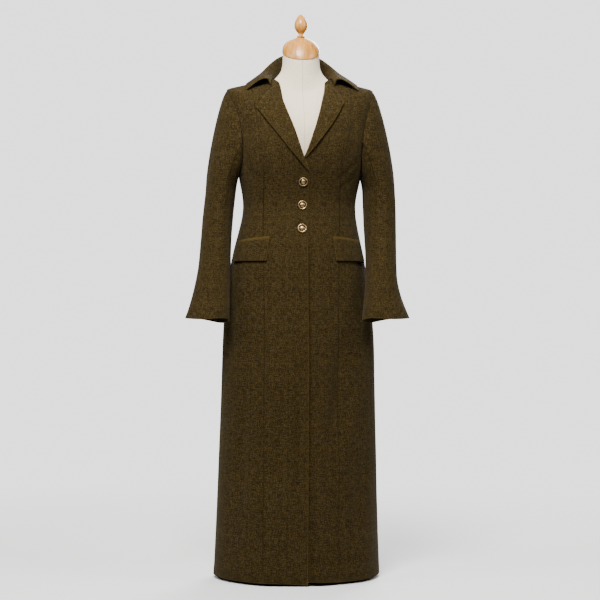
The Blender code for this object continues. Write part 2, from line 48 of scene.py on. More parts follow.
print("loaded", len(nodes), "nodes")

# %% [markdown]
# ## The view
# The camera stands level, about four metres off, a little to the wearer's right. A long lens keeps the
# skirt's sides nearly straight. The floor is pale and plain, and five large soft lights stand in for a
# studio: one high in front, one on each side to draw the edges of the sleeves, one over the floor and one
# behind, so that the back isn't lost in the dark.

# %% Camera, floor and light
CAMERA_AZIMUTH = math.radians(-4.5)
CAMERA_DISTANCE = 4.2
EYE_HEIGHT = 0.717
FRAME_WIDTH = 1.56
FILM = 36.0
CENTRE_SHIFT = -1.0 / 600

camera_data = bpy.data.cameras.new("view_camera")
camera_data.sensor_width = FILM
camera_data.lens = FILM * CAMERA_DISTANCE / FRAME_WIDTH
camera_data.shift_x = CENTRE_SHIFT
camera = bpy.data.objects.new("view_camera", camera_data)
camera.location = (
    CAMERA_DISTANCE * math.sin(CAMERA_AZIMUTH),
    -CAMERA_DISTANCE * math.cos(CAMERA_AZIMUTH),
    EYE_HEIGHT,
)
camera.rotation_euler = (math.pi / 2, 0.0, CAMERA_AZIMUTH)
bpy.context.scene.collection.objects.link(camera)
bpy.context.scene.camera = camera

FLOOR_RADIUS = 3.0
FLOOR_FADE = (0.5, 2.4)
FLOOR_TONE = (0.62, 0.62, 0.61, 1.0)
FLOOR_ROUGHNESS = 0.9
bpy.ops.mesh.primitive_circle_add(vertices=96, radius=FLOOR_RADIUS, fill_type="NGON")
floor = bpy.context.object
floor.name = "floor"
floor_material = bpy.data.materials.new("pale_floor")
floor_material.use_nodes = True
floor_nodes = floor_material.node_tree
floor_shader = floor_nodes.nodes["Principled BSDF"]
floor_shader.inputs["Base Color"].default_value = FLOOR_TONE
floor_shader.inputs["Roughness"].default_value = FLOOR_ROUGHNESS
floor_place = floor_nodes.nodes.new("ShaderNodeTexCoord")
floor_reach = floor_nodes.nodes.new("ShaderNodeVectorMath")
floor_reach.operation = "LENGTH"
floor_fade = floor_nodes.nodes.new("ShaderNodeMapRange")
floor_fade.interpolation_type = "SMOOTHSTEP"
floor_fade.inputs["From Min"].default_value = FLOOR_FADE[0]
floor_fade.inputs["From Max"].default_value = FLOOR_FADE[1]
floor_fade.inputs["To Min"].default_value = 1.0
floor_fade.inputs["To Max"].default_value = 0.0
floor_nodes.links.new(floor_place.outputs["Object"], floor_reach.inputs[0])
floor_nodes.links.new(floor_reach.outputs["Value"], floor_fade.inputs["Value"])
floor_nodes.links.new(floor_fade.outputs["Result"], floor_shader.inputs["Alpha"])
floor.data.materials.append(floor_material)

BACKDROP_SEEN = 2.2
BACKDROP_LIGHT = 0.10
world = bpy.data.worlds.new("studio")
world.use_nodes = True
sky = world.node_tree
sky.nodes["Background"].inputs["Color"].default_value = (1.0, 1.0, 1.0, 1.0)
ray = sky.nodes.new("ShaderNodeLightPath")
strength = sky.nodes.new("ShaderNodeMapRange")
strength.inputs["To Min"].default_value = BACKDROP_LIGHT
strength.inputs["To Max"].default_value = BACKDROP_SEEN
sky.links.new(ray.outputs["Is Camera Ray"], strength.inputs["Value"])
sky.links.new(strength.outputs["Result"], sky.nodes["Background"].inputs["Strength"])
bpy.context.scene.world = world

# name, place, size, watts
LIGHTS = (
    ("front_light", (-0.45, -1.7, 2.75), 0.9, 215.0),
    ("right_light", (2.6, -1.3, 2.3), 1.0, 66.0),
    ("left_light", (-2.8, -1.0, 2.2), 1.0, 60.0),
    ("floor_light", (0.0, 1.8, 4.0), 5.0, 120.0),
    ("back_light", (0.9, 2.6, 2.3), 1.4, 170.0),
)
AIM = np.array([0.0, 0.0, 0.9])
for name, place, size, watts in LIGHTS:
    lamp = bpy.data.lights.new(name, "AREA")
    lamp.size = size
    lamp.energy = watts
    holder = bpy.data.objects.new(name, lamp)
    holder.location = place
    away = np.array(place) - AIM
    holder.rotation_euler = (
        math.atan2(math.hypot(away[0], away[1]), away[2]), 0.0, math.atan2(away[0], -away[1]),
    )
    bpy.context.scene.collection.objects.link(holder)
print("camera, floor and", len(LIGHTS), "lights")

# %% [markdown]
# ## Helpers for materials
# A material is a tree of small nodes, and each one takes several lines to add and link. These short helpers
# add one node each and give back its output, so that the materials further on can be read like sums.

# %% Node helpers
def new_group(name, inputs, outputs):
    group = bpy.data.node_groups.new(name, "ShaderNodeTree")
    for label, kind in inputs:
        group.interface.new_socket(label, in_out="INPUT", socket_type=kind)
    for label, kind in outputs:
        group.interface.new_socket(label, in_out="OUTPUT", socket_type=kind)
    return group, group.nodes.new("NodeGroupInput"), group.nodes.new("NodeGroupOutput")


def put(tree, value, socket):
    if isinstance(value, bpy.types.NodeSocket):
        tree.links.new(value, socket)
    else:
        socket.default_value = value


def calc(tree, operation, first, second=0.0):
    node = tree.nodes.new("ShaderNodeMath")
    node.operation = operation
    put(tree, first, node.inputs[0])
    put(tree, second, node.inputs[1])
    return node.outputs[0]


def vector(tree, x, y, z=0.0):
    node = tree.nodes.new("ShaderNodeCombineXYZ")
    for value, socket in zip((x, y, z), node.inputs):
        put(tree, value, socket)
    return node.outputs[0]


def noise(tree, place, scale, detail=2.0):
    node = tree.nodes.new("ShaderNodeTexNoise")
    put(tree, place, node.inputs["Vector"])
    node.inputs["Scale"].default_value = scale
    node.inputs["Detail"].default_value = detail
    return node.outputs[0]


def random_of(tree, number):
    node = tree.nodes.new("ShaderNodeTexWhiteNoise")
    node.noise_dimensions = "1D"
    put(tree, number, node.inputs["W"])
    return node.outputs["Value"]


def ramp(tree, value, stops):
    node = tree.nodes.new("ShaderNodeValToRGB")
    elements = node.color_ramp.elements
    while len(elements) < len(stops):
        elements.new(0.5)
    for element, (position, colour) in zip(elements, stops):
        element.position = position
        element.color = (*colour, 1.0)
    put(tree, value, node.inputs[0])
    return node.outputs[0]


def blend(tree, share, first, second):
    node = tree.nodes.new("ShaderNodeMix")
    node.data_type = "RGBA"
    put(tree, share, node.inputs[0])
    put(tree, first, node.inputs[6])
    put(tree, second, node.inputs[7])
    return node.outputs[2]


def new_material(name, roughness):
    material = bpy.data.materials.new(name)
    material.use_nodes = True
    tree = material.node_tree
    shader = tree.nodes["Principled BSDF"]
    shader.inputs["Roughness"].default_value = roughness
    return material, tree, shader


def bump(tree, shader, height, strength, distance):
    node = tree.nodes.new("ShaderNodeBump")
    node.inputs["Strength"].default_value = strength
    node.inputs["Distance"].default_value = distance
    tree.links.new(height, node.inputs["Height"])
    tree.links.new(node.outputs[0], shader.inputs["Normal"])


# %% [markdown]
# ## The tweed
# Tweed is a twill of thick, uneven wool yarns, each spun from fibres of several colours. A node group can
# number the threads from the cloth's own coordinates, give every thread its own tone, and pick which of
# the two shows on top. Doing it in a group keeps the weave the same on every piece, while the shader and
# its sheen stay in the material.

# %% Tweed group and material
THREAD = 0.0014
SLUB = 84.0
STEADY = 0.07
WARP_TONES = (
    (0.34, (0.0046, 0.0030, 0.0011)),
    (0.48, (0.0125, 0.0086, 0.0032)),
    (0.60, (0.0265, 0.0190, 0.0075)),
    (0.70, (0.0270, 0.0245, 0.0190)),
)
WEFT_TONES = (
    (0.34, (0.0060, 0.0034, 0.0005)),
    (0.48, (0.0175, 0.0104, 0.0014)),
    (0.58, (0.0315, 0.0196, 0.0036)),
    (0.70, (0.0410, 0.0270, 0.0063)),
)
FLECK = (0.0680, 0.0432, 0.0112, 1.0)
# painted highlight tone, laid along free edges and hems
EDGE_HIGHLIGHT_TONE = (0.0700, 0.0440, 0.0090, 1.0)
# painted shade tone, laid along sewn seams
SEAM_SHADE_TONE = (0.003, 0.002, 0.0005, 1.0)
# width of the painted edge highlight and of the painted seam shade
PAINTED_RIM_LINE_WIDTH = 0.0019
TWILL_REPEAT = 4.0
TWILL_OVER = 2.0
YARN_APART = 3.7
WEFT_LAYER = 7.0
SPECK_SCALE = 330.0
SPECK_FROM = 0.66
SPECK_SHARE = 0.45
WOOL_ROUGHNESS = 0.92
WOOL_SPECULAR = 0.04
SHEEN = 0.03
SHEEN_ROUGHNESS = 0.45
SHEEN_TINT = (1.0, 0.86, 0.60, 1.0)
WEAVE_BUMP = (0.5, 0.0004)

weave, start, end = new_group(
    "tweed_weave",
    [("Cloth", "NodeSocketVector")],
    [("Color", "NodeSocketColor"), ("Height", "NodeSocketFloat")],
)
split = weave.nodes.new("ShaderNodeSeparateXYZ")
weave.links.new(start.outputs["Cloth"], split.inputs[0])
across, along = split.outputs[0], split.outputs[1]
warp_place = calc(weave, "DIVIDE", across, THREAD)
weft_place = calc(weave, "DIVIDE", along, THREAD)
warp = calc(weave, "FLOOR", warp_place)
weft = calc(weave, "FLOOR", weft_place)
step = calc(weave, "FLOORED_MODULO", calc(weave, "ADD", warp, weft), TWILL_REPEAT)
on_top = calc(weave, "LESS_THAN", step, TWILL_OVER)


def yarn_tone(number, place, layer):
    """One tone for the whole thread, and a larger share that changes along it."""
    length = calc(weave, "MULTIPLY", place, SLUB)
    slub = noise(weave, vector(weave, calc(weave, "MULTIPLY", number, YARN_APART), length, layer), 1.0)
    steady = random_of(weave, calc(weave, "ADD", number, layer + 0.5))
    changing = calc(weave, "MULTIPLY", slub, 1.0 - STEADY)
    return calc(weave, "ADD", calc(weave, "MULTIPLY", steady, STEADY), changing)


warp_tone = yarn_tone(warp, along, 0.0)
weft_tone = yarn_tone(weft, across, WEFT_LAYER)
threads = blend(weave, on_top, ramp(weave, weft_tone, WEFT_TONES), ramp(weave, warp_tone, WARP_TONES))
speck = noise(weave, start.outputs["Cloth"], SPECK_SCALE, 1.0)
specks = calc(weave, "MULTIPLY", calc(weave, "GREATER_THAN", speck, SPECK_FROM), SPECK_SHARE)
weave.links.new(blend(weave, specks, threads, FLECK), end.inputs["Color"])
warp_round = calc(weave, "SINE", calc(weave, "MULTIPLY", calc(weave, "FRACT", warp_place), math.pi))
weft_round = calc(weave, "SINE", calc(weave, "MULTIPLY", calc(weave, "FRACT", weft_place), math.pi))
warp_height = calc(weave, "MULTIPLY", warp_round, on_top)
weft_height = calc(weave, "MULTIPLY", weft_round, calc(weave, "SUBTRACT", 1.0, on_top))
height = calc(weave, "ADD", warp_height, weft_height)
weave.links.new(height, end.inputs["Height"])


def tweed_material(name, highlight_share, seam_shade_share):
    material, tree, shader = new_material(name, WOOL_ROUGHNESS)
    shader.inputs["Specular IOR Level"].default_value = WOOL_SPECULAR
    shader.inputs["Sheen Weight"].default_value = SHEEN
    shader.inputs["Sheen Roughness"].default_value = SHEEN_ROUGHNESS
    shader.inputs["Sheen Tint"].default_value = SHEEN_TINT
    cloth = tree.nodes.new("ShaderNodeUVMap")
    cloth.uv_map = "cloth"
    woven = tree.nodes.new("ShaderNodeGroup")
    woven.node_tree = weave
    tree.links.new(cloth.outputs[0], woven.inputs["Cloth"])
    rim, loose = (tree.nodes.new("ShaderNodeAttribute") for k in range(2))
    rim.attribute_name = "from_rim"
    loose.attribute_name = "free_rim"
    # The base colour takes a painted highlight along free rims and a painted shade along sewn seams, both
    # fading out about two millimetres from the rim.
    off_rim = calc(tree, "DIVIDE", rim.outputs["Fac"], PAINTED_RIM_LINE_WIDTH)
    line = calc(tree, "SUBTRACT", 1.0, calc(tree, "MINIMUM", off_rim, 1.0))
    painted_edge_highlight = calc(tree, "MULTIPLY", calc(tree, "MULTIPLY", line, loose.outputs["Fac"]), highlight_share)
    sewn = calc(tree, "SUBTRACT", 1.0, loose.outputs["Fac"])
    painted_seam_shade = calc(tree, "MULTIPLY", calc(tree, "MULTIPLY", line, sewn), seam_shade_share)
    tone = blend(tree, painted_edge_highlight, woven.outputs["Color"], EDGE_HIGHLIGHT_TONE)
    tree.links.new(blend(tree, painted_seam_shade, tone, SEAM_SHADE_TONE), shader.inputs["Base Color"])
    bump(tree, shader, woven.outputs["Height"], *WEAVE_BUMP)
    return material


# The first share sets the painted edge highlight, the second the painted seam shade; the jets get a stronger
# highlight and no seam shade.
tweed = tweed_material("tweed", highlight_share=0.28, seam_shade_share=0.70)
jet_tweed = tweed_material("jet_tweed", highlight_share=0.42, seam_shade_share=0.0)
print("tweed of", THREAD * 1000, "mm threads")

# %% [markdown]
# ## Soft shells from the solids
# Each cloth solid is a thin closed wall with coarse facets. A subdivision surface turns it into a smooth
# shell, provided the rims are creased so the wall keeps its thickness, and a very small bevel rounds the
# rims as pressing does. The modifiers are baked at once, because the creases are pressed into the points.

# %% Shell helper
SHARP = math.radians(42.0)
WALL_MOST = 0.0032
ARMHOLE_FOOT = 1.03
ARMHOLE_GROW = 0.0007
SAME_POINT = 1e-5
TINY = 1e-6
QUAD_BEND = math.radians(25.0)
QUAD_SKEW = math.radians(60.0)
CLOTH_LEVELS = 2
EDGE_ROUND = 0.0005
PANEL_GROW = 0.00018
SLEEVE_GROW = 0.00062


def rim_faces(work):
    """The narrow faces across the wall's thickness, each between two sharp edges."""
    found = []
    for face in work.faces:
        sharp = [rim for rim in face.edges if len(rim.link_faces) == 2 and rim.calc_face_angle(0.0) > SHARP]
        if len(sharp) >= 2 and min(rim.calc_length() for rim in face.edges) < WALL_MOST:
            found.append(face)
    return found


def grow_rims(faces, reach):
    """Moves the rims out in their own plane, so that two pieces meet at their seam."""
    moves = {}
    for face in faces:
        for corner in face.verts:
            moves[corner] = moves.get(corner, 0.0 * face.normal) + face.normal
    for corner, way in moves.items():
        if way.length > TINY:
            tuck = ARMHOLE_GROW if corner.co.z > ARMHOLE_FOOT else 0.0
            corner.co += way.normalized() * (reach + tuck)


def soft_copy(node, name, levels, edge=0.0, grow=0.0, cloth_piece=True):
    work = bmesh.new()
    work.from_mesh(nodes[node].data)
    bmesh.ops.remove_doubles(work, verts=work.verts, dist=SAME_POINT)
    bmesh.ops.join_triangles(
        work,
        faces=work.faces,
        cmp_seam=False,
        cmp_sharp=False,
        cmp_uvs=False,
        cmp_vcols=False,
        cmp_materials=False,
        angle_face_threshold=QUAD_BEND,
        angle_shape_threshold=QUAD_SKEW,
    )
    work.normal_update()
    walls = rim_faces(work) if cloth_piece else list(work.faces)
    crease = work.edges.layers.float.new("crease_edge")
    rim_mark = work.verts.layers.float.new("rim")
    for face in walls:
        for rim in face.edges:
            if len(rim.link_faces) == 2 and rim.calc_face_angle(0.0) > SHARP:
                rim[crease] = 1.0
        for corner in face.verts:
            corner[rim_mark] = 1.0
    if grow:
        grow_rims(walls, grow)
    for face in work.faces:
        face.smooth = True
    coarse = bpy.data.meshes.new(name + "_coarse")
    work.to_mesh(coarse)
    work.free()
    piece = bpy.data.objects.new(name, coarse)
    bpy.context.scene.collection.objects.link(piece)
    smooth = piece.modifiers.new("smooth", "SUBSURF")
    smooth.levels = levels
    smooth.render_levels = levels
    if edge:
        rounding = piece.modifiers.new("rounding", "BEVEL")
        rounding.width = edge
        rounding.segments = 2
        rounding.limit_method = "ANGLE"
        rounding.angle_limit = SHARP
        rounding.use_clamp_overlap = True
    graph = bpy.context.evaluated_depsgraph_get()
    baked = bpy.data.meshes.new_from_object(piece.evaluated_get(graph))
    piece.modifiers.clear()
    piece.data = baked
    baked.name = name
    bpy.data.meshes.remove(coarse)
    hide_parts(node)
    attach(piece, "root")
    return piece


def points_of(piece):
    points = np.empty(len(piece.data.vertices) * 3)
    piece.data.vertices.foreach_get("co", points)
    return points.reshape(-1, 3)


def move_points(piece, points):
    piece.data.vertices.foreach_set("co", points.ravel())
    piece.data.update()


# %% [markdown]
# ## Creases, placed one by one
# A worn cloth is never as even as its pattern. Each crease here is a short line on the body, given by two
# angles round it and two heights, with a half width and a depth; a minus depth is a ridge. Every piece asks
# the same table, so a flap and the panel under it move together and the seams stay closed. The lines on
# the back are of the same kind as those seen in front.

# %% Crease tables
BODY_CENTRE = -0.006
BODY_RADIUS = 0.17
SLEEVE_RADIUS = 0.060
ON_RIM = 0.97
RIM_STEP = 0.0008
CREASE_ENDS = (0.06, 0.94)
CREASE_FADE = 0.6
UNEVEN = 0.0006
UNEVEN_FINE = 0.00025

# angle and height at the start, angle and height at the end, half width, depth; degrees, metres and mm
BODY_CREASES = (
    (-57, 1.200, -53, 1.085, 12, 4.2),
    (-36, 1.190, -39, 1.080, 9, -1.9),
    (56, 1.200, 52, 1.090, 11, 3.6),
    (62, 1.075, 42, 1.020, 6, 2.9),
    (66, 1.045, 46, 0.992, 6, 2.4),
    (-64, 1.060, -44, 1.005, 7, 2.2),
    (-74, 0.968, -40, 0.955, 6, 1.4),
    (38, 0.962, 74, 0.972, 6, 1.4),
    (-80, 0.940, -50, 0.925, 7, -1.1),
    (48, 0.935, 84, 0.948, 7, -1.1),
    (-6, 0.560, -4, 0.180, 15, 8.5),
    (-30, 0.640, -26, 0.330, 22, -6.5),
    (11, 0.690, 10, 0.470, 10, -5.0),
    (40, 0.590, 26, 0.340, 15, 8.0),
    (55, 0.480, 31, 0.240, 14, -7.0),
    (60, 0.310, 46, 0.110, 14, 7.0),
    (-52, 0.520, -58, 0.120, 18, 5.5),
    (-16, 0.330, -20, 0.060, 15, -4.5),
    (140, 0.985, 108, 0.960, 7, 1.9),
    (-142, 0.978, -110, 0.955, 7, 1.9),
    (150, 0.950, 118, 0.930, 7, -1.4),
    (-148, 0.948, -116, 0.925, 7, -1.4),
    (128, 1.160, 118, 1.060, 9, 2.2),
    (-126, 1.165, -116, 1.060, 9, 2.2),
    (164, 0.700, 160, 0.200, 17, 5.0),
    (-158, 0.640, -163, 0.160, 17, 4.6),
    (128, 0.560, 134, 0.120, 17, -4.4),
    (-128, 0.600, -122, 0.140, 17, -4.4),
)

# the same round each sleeve's own line: 0 faces out, 90 faces front
SLEEVE_CREASES = {
    "right": (
        (120, 0.965, 50, 0.925, 6, 2.9),
        (128, 0.925, 62, 0.892, 6, 2.4),
        (112, 0.885, 48, 0.866, 6, 1.9),
        (40, 1.120, 18, 1.010, 9, 1.9),
        (70, 0.860, 62, 0.720, 9, 1.4),
        (-40, 0.980, -110, 0.940, 7, 2.2),
        (-50, 0.925, -120, 0.905, 7, 1.9),
    ),
    "left": (
        (124, 0.975, 46, 0.938, 6, 2.9),
        (120, 0.936, 56, 0.905, 6, 2.4),
        (108, 0.892, 40, 0.862, 6, 1.9),
        (44, 1.100, 24, 1.000, 9, 1.9),
        (66, 0.850, 70, 0.730, 9, 1.4),
        (-44, 0.990, -112, 0.952, 7, 2.2),
        (-52, 0.934, -118, 0.900, 7, 1.9),
    ),
}


def creased(angle, height, radius, rows):
    depth = np.zeros(len(angle))
    for angle_0, height_0, angle_1, height_1, half, deep in rows:
        reach = (math.radians(angle_1 - angle_0) * radius, height_1 - height_0)
        off = np.angle(np.exp(1j * (angle - math.radians(angle_0)))) * radius
        rise = height - height_0
        share = np.clip((off * reach[0] + rise * reach[1]) / (reach[0] ** 2 + reach[1] ** 2), 0.0, 1.0)
        apart = np.hypot(off - share * reach[0], rise - share * reach[1]) / (half / 1000)
        fade = np.sin(np.pi * np.clip(share, *CREASE_ENDS)) ** CREASE_FADE
        depth += deep / 1000 * fade * np.exp(-apart ** 2)
    return depth


def uneven(angle, height):
    wave = np.sin(21 * height + 3 * angle) * np.sin(5 * angle + 1.3)
    fine = np.sin(47 * height - 4 * angle + 2.0) * np.cos(9 * angle)
    return UNEVEN * wave + UNEVEN_FINE * fine


def cloth_uv(piece, across, along):
    place = np.stack([across, along], axis=1)
    corner = np.empty(len(piece.data.loops), dtype=int)
    piece.data.loops.foreach_get("vertex_index", corner)
    layer = piece.data.uv_layers.new(name="cloth")
    layer.data.foreach_set("uv", place[corner].ravel())


def mark_edges(piece, free, plain=None, sharpness=1.0):
    """Stores how far each point is from a rim, and if that rim is free or sewn, for the painted edge
    highlight and painted seam shade; plain rims don't count.
    """
    work = bmesh.new()
    work.from_mesh(piece.data)
    mark = work.verts.layers.float["rim"]
    spots = []
    for line in work.edges:
        if min(corner[mark] for corner in line.verts) < ON_RIM:
            continue
        if plain is not None and all(plain[corner.index] for corner in line.verts):
            continue
        first, second = (corner.co for corner in line.verts)
        steps = max(1, math.ceil((second - first).length / RIM_STEP))
        loose = all(free[corner.index] for corner in line.verts)
        spots += [(first.lerp(second, k / steps), loose) for k in range(steps + 1)]
    tree = kdtree.KDTree(len(spots))
    for index, (spot, loose) in enumerate(spots):
        tree.insert(spot, index)
    tree.balance()
    near = [tree.find(corner.co) for corner in work.verts]
    work.free()
    reach = np.array([distance for spot, index, distance in near])
    loose = np.array([float(spots[index][1]) for spot, index, distance in near])
    loose = 1.0 - (1.0 - loose) * sharpness
    for label, values in (("from_rim", reach), ("free_rim", loose)):
        piece.data.attributes.new(label, "FLOAT", "POINT").data.foreach_set("value", values)
    return reach, loose


def turn_from(angle, middle):
    return np.angle(np.exp(1j * (angle - middle)))


def mean_angle(angle):
    return np.angle(np.exp(1j * angle).mean())


print(len(BODY_CREASES), "creases on the body,", len(SLEEVE_CREASES["left"]), "on each sleeve")

# %% [markdown]
# ## The panels
# The body of the coat is cut in fronts, side fronts and backs, joined by long seams. They are smoothed,
# pressed by the crease table along the body's own outward direction, and given a cloth coordinate in
# metres, so the warp runs down each panel as a tailor would lay it. Near a seam the cloth is pulled in a
# little, which is how a pressed-open seam shows.

# %% Body panels
FRONT_EDGE = math.radians(9.0)
BODY_FLAT = 0.55
HEM_CLEAR = 0.03
PINCH = 0.0009
SKIRT_TOP = 0.82
SKIRT_SEAM = 0.72
PINCH_WIDTH = 0.006
SHOULDER_FADE = (1.20, 1.26)
CHEST_LEVEL = 1.17
CHEST_BAND = 0.010
LAP_ANGLE = math.radians(6.0)
ROLL_SPAN = (1.00, 0.80)
ROLL_WIDTH = 0.012
ROLL_OUT = 0.0035
HEM_STEP = 0.0035
HEM_STEP_UP = 0.15
HEM_STEP_WIDTH = 0.045
ROLL_IN = 0.0030


def front_roll(name, angle, height):
    """The lapping edge springs off the front, and the front under it sinks, most below the buttons."""
    share = np.clip((ROLL_SPAN[0] - height) / (ROLL_SPAN[0] - ROLL_SPAN[1]), 0.0, 1.0)
    near = np.exp(-((angle - LAP_ANGLE) * BODY_RADIUS / ROLL_WIDTH) ** 2)
    if name.startswith("front_right"):
        return ROLL_OUT * share * near
    if name.startswith("front_left"):
        return -ROLL_IN * share * near
    return 0.0


def hem_step(name, angle, height):
    """At the hem the lapping corner hangs a little lower than the one under it."""
    low = np.clip(1.0 - height / HEM_STEP_UP, 0.0, 1.0) ** 2
    near = np.exp(-((angle - LAP_ANGLE) * BODY_RADIUS / HEM_STEP_WIDTH) ** 2)
    if name.startswith("front_right"):
        return -HEM_STEP * low * near
    if name.startswith("front_left"):
        return HEM_STEP * low * near
    return 0.0


def over_shoulder(points, across):
    """Above the chest the cloth bends in over the shoulder, so its length is counted along that bend."""
    along = points[:, 2].copy()
    row = np.flatnonzero(np.abs(points[:, 2] - CHEST_LEVEL) < CHEST_BAND)
    high = points[:, 2] > CHEST_LEVEL
    if len(row) < 2 or not high.any():
        return across, along
    row = row[np.argsort(points[row, 0])]
    x = points[high, 0]
    beyond = x - np.clip(x, points[row[0], 0], points[row[-1], 0])
    side = np.sign(points[row, 0].mean()) if points[row, 1].mean() < 0 else -np.sign(points[row, 0].mean())
    lean = np.interp(x, points[row, 0], points[row, 1])
    across = across.copy()
    across[high] = np.interp(x, points[row, 0], across[row]) + np.abs(beyond) * np.sign(beyond) * side
    along[high] = CHEST_LEVEL + np.hypot(points[high, 2] - CHEST_LEVEL, points[high, 1] - lean)
    return across, along


def press_body(piece, seams):
    points = points_of(piece)
    x = points[:, 0] - BODY_CENTRE
    angle = np.arctan2(x, -points[:, 1])
    outward = np.stack([x * BODY_FLAT, points[:, 1]], axis=1)
    outward /= np.maximum(np.linalg.norm(outward, axis=1), TINY)[:, None]
    fade = np.clip((SHOULDER_FADE[1] - points[:, 2]) / (SHOULDER_FADE[1] - SHOULDER_FADE[0]), 0.0, 1.0)
    inward = creased(angle, points[:, 2], BODY_RADIUS, BODY_CREASES) + uneven(angle, points[:, 2])
    inward *= fade
    inward -= front_roll(piece.name, angle, points[:, 2])
    free = np.full(len(points), not seams) | (np.abs(angle) < FRONT_EDGE) | (points[:, 2] < HEM_CLEAR)
    reach, loose = mark_edges(piece, free, sharpness=np.where(points[:, 2] < SKIRT_TOP, SKIRT_SEAM, 1.0))
    inward += PINCH * np.exp(-(reach / PINCH_WIDTH) ** 2) * (1.0 - loose) * fade
    points[:, :2] -= outward * inward[:, None]
    points[:, 2] += hem_step(piece.name, angle, points[:, 2])
    move_points(piece, points)
    across = turn_from(angle, mean_angle(angle)) * BODY_RADIUS
    cloth_uv(piece, *over_shoulder(points, across))
    piece.data.materials.append(tweed)


PANELS = ("front_right", "front_left", "side_front_right", "side_front_left", "back_right", "back_left")
cloth = {}
for node in PANELS:
    cloth[node] = soft_copy(node, node + "_cloth", CLOTH_LEVELS, EDGE_ROUND, PANEL_GROW)
    press_body(cloth[node], True)
print("panels:", {n: len(p.data.polygons) for n, p in cloth.items()})

# %% [markdown]
# ## Lapels, pockets and collar
# These lie on the panels, so they go through the same press and stay the same small distance off. The
# collar stands up, turns over along its fold and falls: it is smoothed the same way, but its cloth
# coordinate runs round the neck, as its grain does. Over the shoulders its edge sinks towards the panels.

# %% Lapels, flaps, jets and collar
LAID = (
    "lapel_right",
    "lapel_left",
    "pocket_flap_right",
    "pocket_flap_left",
    "pocket_jet_right",
    "pocket_jet_left",
)
for node in LAID:
    cloth[node] = soft_copy(node, node + "_cloth", CLOTH_LEVELS, EDGE_ROUND)
    press_body(cloth[node], False)
    if node.startswith("pocket_jet"):
        cloth[node].data.materials[0] = jet_tweed

COLLAR_RADIUS = 0.105
COLLAR_FREE = 0.096
COLLAR_FOLD = 0.098
COLLAR_SLOPE = 0.8
# degrees from the front, reach of the free edge, how far it sinks there
COLLAR_SINK = np.array((
    (60.0, 0.154, 0.0),
    (75.0, 0.154, 0.0),
    (90.0, 0.143, 0.0009),
    (105.0, 0.134, 0.0032),
    (120.0, 0.128, 0.0028),
    (135.0, 0.122, 0.0055),
    (152.0, 0.112, 0.0),
))
cloth["collar"] = soft_copy("collar", "collar_cloth", CLOTH_LEVELS, EDGE_ROUND)
points = points_of(cloth["collar"])
neck_angle = np.arctan2(points[:, 0], -points[:, 1])
neck_reach = np.hypot(points[:, 0], points[:, 1])
round_neck = turn_from(neck_angle, math.pi) * COLLAR_RADIUS
cloth_uv(cloth["collar"], round_neck, COLLAR_SLOPE * neck_reach - points[:, 2])
from_front = np.abs(np.degrees(neck_angle))
edge_reach = np.interp(from_front, COLLAR_SINK[:, 0], COLLAR_SINK[:, 1])
fallen = np.clip((neck_reach - COLLAR_FOLD) / (edge_reach - COLLAR_FOLD), 0.0, 1.0)
points[:, 2] -= np.interp(from_front, COLLAR_SINK[:, 0], COLLAR_SINK[:, 2]) * fallen
move_points(cloth["collar"], points)
mark_edges(cloth["collar"], neck_reach > COLLAR_FREE)
cloth["collar"].data.materials.append(tweed)
print("laid on:", ", ".join(LAID), "and the collar")

# %% [markdown]
# ## Sleeves
# A tailored sleeve is two pieces, a wide top and a narrow under sleeve. Its creases gather at the inside of
# the elbow. The line down the middle of each sleeve is found from the solids, and the table's angles are
# counted round that line.

# %% Sleeves
ELBOW_FADE = (1.05, 1.14)
CUFF_CLEAR = 0.02
SLEEVE_BAND = 0.03
SLEEVE_ROWS = 14
SLEEVE_UNEVEN = 0.6
CUFF_TOP = 0.76
CUFF_DEEP = 0.085
CUFF_SPREAD = math.radians(45.0)
# where on the cuff, and how far its hem is off level there: up in front, down behind
CUFF_HANG = ((135.0, 0.0080), (-135.0, -0.0060))


def sleeve_line(side):
    halves = [nodes[f"sleeve_{part}_{side}"].data.vertices for part in ("top", "under")]
    both = np.array([corner.co for half in halves for corner in half])
    levels = np.linspace(both[:, 2].min() + SLEEVE_BAND, ELBOW_FADE[0], SLEEVE_ROWS)
    middles = []
    for level in levels:
        near = both[np.abs(both[:, 2] - level) < SLEEVE_BAND]
        middles.append((near[:, :2].min(axis=0) + near[:, :2].max(axis=0)) / 2)
    return levels, np.array(middles)


def press_sleeve(piece, side, levels, middles):
    points = points_of(piece)
    out = -1.0 if side == "right" else 1.0
    centre = np.stack([np.interp(points[:, 2], levels, middles[:, k]) for k in (0, 1)], axis=1)
    off = points[:, :2] - centre
    reach = np.linalg.norm(off, axis=1)
    angle = np.arctan2(-off[:, 1], off[:, 0] * out)
    fade = np.clip((ELBOW_FADE[1] - points[:, 2]) / (ELBOW_FADE[1] - ELBOW_FADE[0]), 0.0, 1.0)
    inward = creased(angle, points[:, 2], SLEEVE_RADIUS, SLEEVE_CREASES[side])
    inward = (inward + SLEEVE_UNEVEN * uneven(2 * angle, points[:, 2])) * fade
    points[:, :2] -= off / np.maximum(reach, TINY)[:, None] * inward[:, None]
    low = np.clip((CUFF_TOP - points[:, 2]) / CUFF_DEEP, 0.0, 1.0) ** 2
    for toward, rise in CUFF_HANG:
        points[:, 2] += rise * low * np.exp(-(turn_from(angle, math.radians(toward)) / CUFF_SPREAD) ** 2)
    move_points(piece, points)
    cloth_uv(piece, turn_from(angle, mean_angle(angle)) * SLEEVE_RADIUS, points[:, 2])
    cuff = points[:, 2] < points[:, 2].min() + CUFF_CLEAR
    mark_edges(piece, cuff, ~cuff & (points[:, 2] < ARMHOLE_FOOT))
    piece.data.materials.append(tweed)


